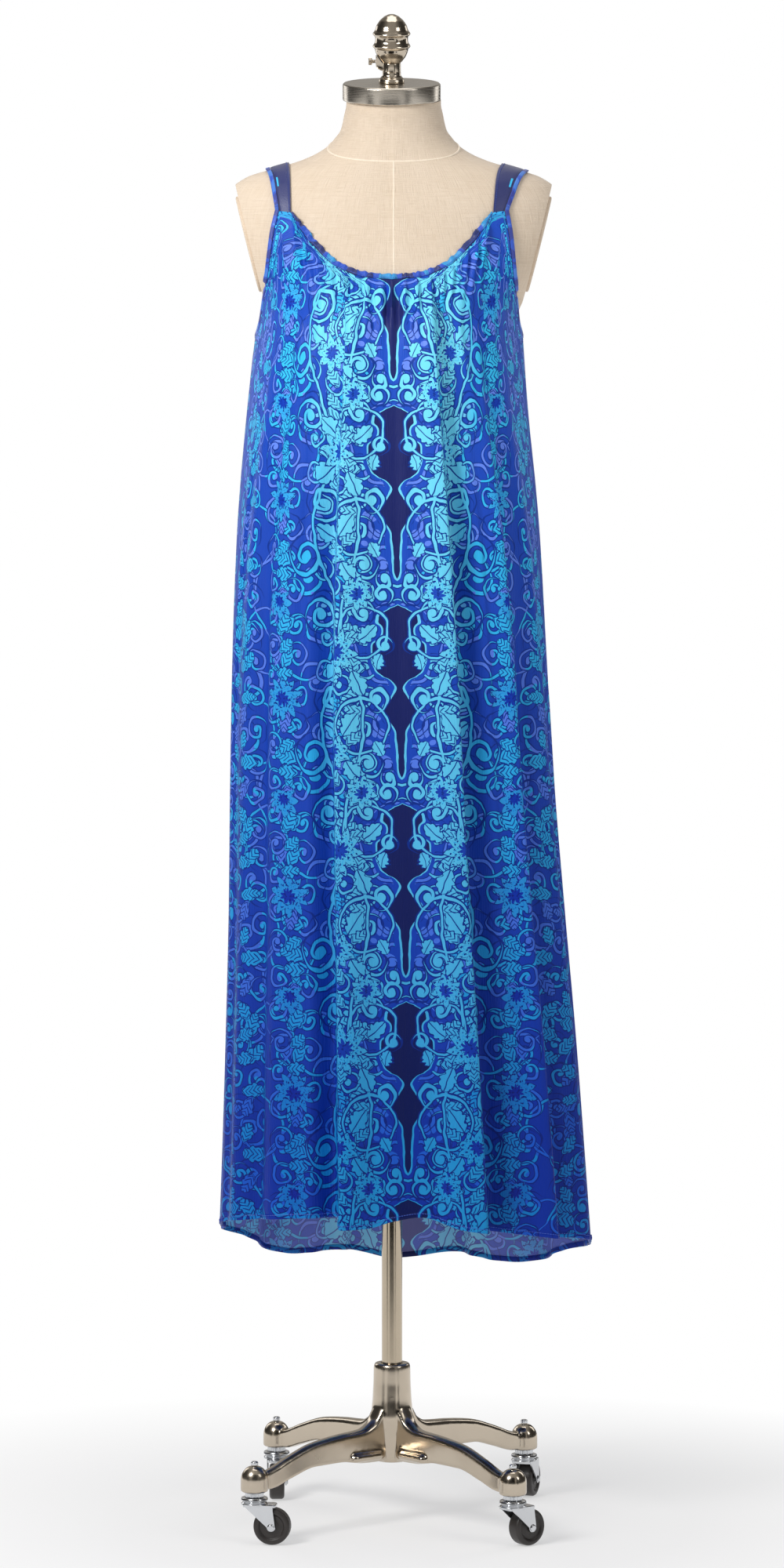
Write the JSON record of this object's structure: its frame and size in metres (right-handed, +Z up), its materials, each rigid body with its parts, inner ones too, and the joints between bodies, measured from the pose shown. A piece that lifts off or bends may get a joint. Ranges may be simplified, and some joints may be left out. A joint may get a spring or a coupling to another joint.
{
  "type": "printed satin gown on a limbless dress form with a caster stand",
  "caption": "Long gathered strap gown in printed satin, worn by a linen dress form on a mast with a cast caster base.",
  "frame": {"origin": "middle of the whole part's box on the floor, 16 mm to the right of the mast's axis", "axes": "+Z up along the mast, -Y the way the gown's front faces, +X to the right of someone who looks at the front"},
  "size_m": [0.4609, 0.3774, 1.863],
  "materials": {
    "printed_satin": "satin",
    "printed_binding": "satin",
    "navy_strap": "satin",
    "linen_cover": "matte",
    "brushed_nickel": "satin",
    "polished_nickel": "polished",
    "polished_casting": "polished",
    "zinc_plate": "gloss",
    "black_rubber": "satin",
    "bottom_board": "matte"
  },
  "bodies": {
    "base": {"hub_and_legs": "polished_casting", "dome_screw_back_right": "zinc_plate", "toothed_ring_back_right": "zinc_plate", "dome_screw_back_left": "zinc_plate", "toothed_ring_back_left": "zinc_plate", "dome_screw_front_left": "zinc_plate", "toothed_ring_front_left": "zinc_plate", "dome_screw_front_right": "zinc_plate", "toothed_ring_front_right": "zinc_plate"},
    "mast": {"mast": "polished_nickel"},
    "form": {"form_torso": "linen_cover", "arm_plate_left": "linen_cover", "arm_plate_right": "linen_cover", "neck_cap": "brushed_nickel", "finial_collar": "polished_nickel", "thumb_screw": "polished_nickel", "finial": "polished_nickel", "under_plate": "bottom_board", "mast_socket": "brushed_nickel", "gown_front": "printed_satin", "gown_back": "printed_satin", "neck_binding_front": "printed_binding", "neck_binding_back": "printed_binding", "armhole_binding_left": "printed_binding", "armhole_binding_right": "printed_binding", "strap_left": "navy_strap", "strap_right": "navy_strap"},
    "fork_back_right": {"caster_fork_back_right": "zinc_plate", "caster_axle_back_right": "zinc_plate"},
    "fork_back_left": {"caster_fork_back_left": "zinc_plate", "caster_axle_back_left": "zinc_plate"},
    "fork_front_left": {"caster_fork_front_left": "zinc_plate", "caster_axle_front_left": "zinc_plate"},
    "fork_front_right": {"caster_fork_front_right": "zinc_plate", "caster_axle_front_right": "zinc_plate"},
    "wheel_back_right": {"caster_wheel_back_right": "black_rubber"},
    "wheel_back_left": {"caster_wheel_back_left": "black_rubber"},
    "wheel_front_left": {"caster_wheel_front_left": "black_rubber"},
    "wheel_front_right": {"caster_wheel_front_right": "black_rubber"}
  },
  "joints": [
    {"name": "mast_turn", "type": "hinge", "parent": "base", "child": "mast", "pos_m": [-0.016, 0, 0.14], "axis": [0, 0, 1], "continuous": true},
    {"name": "form_height", "type": "slide", "parent": "mast", "child": "form", "axis": [0, 0, 1], "range_m": [-0.05, 0.15]},
    {"name": "swivel_back_right", "type": "hinge", "parent": "base", "child": "fork_back_right", "pos_m": [0.15172, 0.14697, 0.05], "axis": [0, 0, 1], "continuous": true},
    {"name": "swivel_back_left", "type": "hinge", "parent": "base", "child": "fork_back_left", "pos_m": [-0.16297, 0.16772, 0.05], "axis": [0, 0, 1], "continuous": true},
    {"name": "swivel_front_left", "type": "hinge", "parent": "base", "child": "fork_front_left", "pos_m": [-0.18372, -0.14697, 0.05], "axis": [0, 0, 1], "continuous": true},
    {"name": "swivel_front_right", "type": "hinge", "parent": "base", "child": "fork_front_right", "pos_m": [0.13097, -0.16772, 0.05], "axis": [0, 0, 1], "continuous": true},
    {"name": "roll_back_right", "type": "hinge", "parent": "fork_back_right", "child": "wheel_back_right", "pos_m": [0.15852, 0.16789, 0.0225], "axis": [-0.9511, 0.309, 0], "continuous": true},
    {"name": "roll_back_left", "type": "hinge", "parent": "fork_back_left", "child": "wheel_back_left", "pos_m": [-0.1622, 0.14573, 0.0225], "axis": [0.9994, 0.0349, 0], "continuous": true},
    {"name": "roll_front_left", "type": "hinge", "parent": "fork_front_left", "child": "wheel_front_left", "pos_m": [-0.16193, -0.15003, 0.0225], "axis": [0.1392, 0.9903, 0], "continuous": true},
    {"name": "roll_front_right", "type": "hinge", "parent": "fork_front_right", "child": "wheel_front_right", "pos_m": [0.14807, -0.15388, 0.0225], "axis": [-0.6293, 0.7771, 0], "continuous": true}
  ]
}
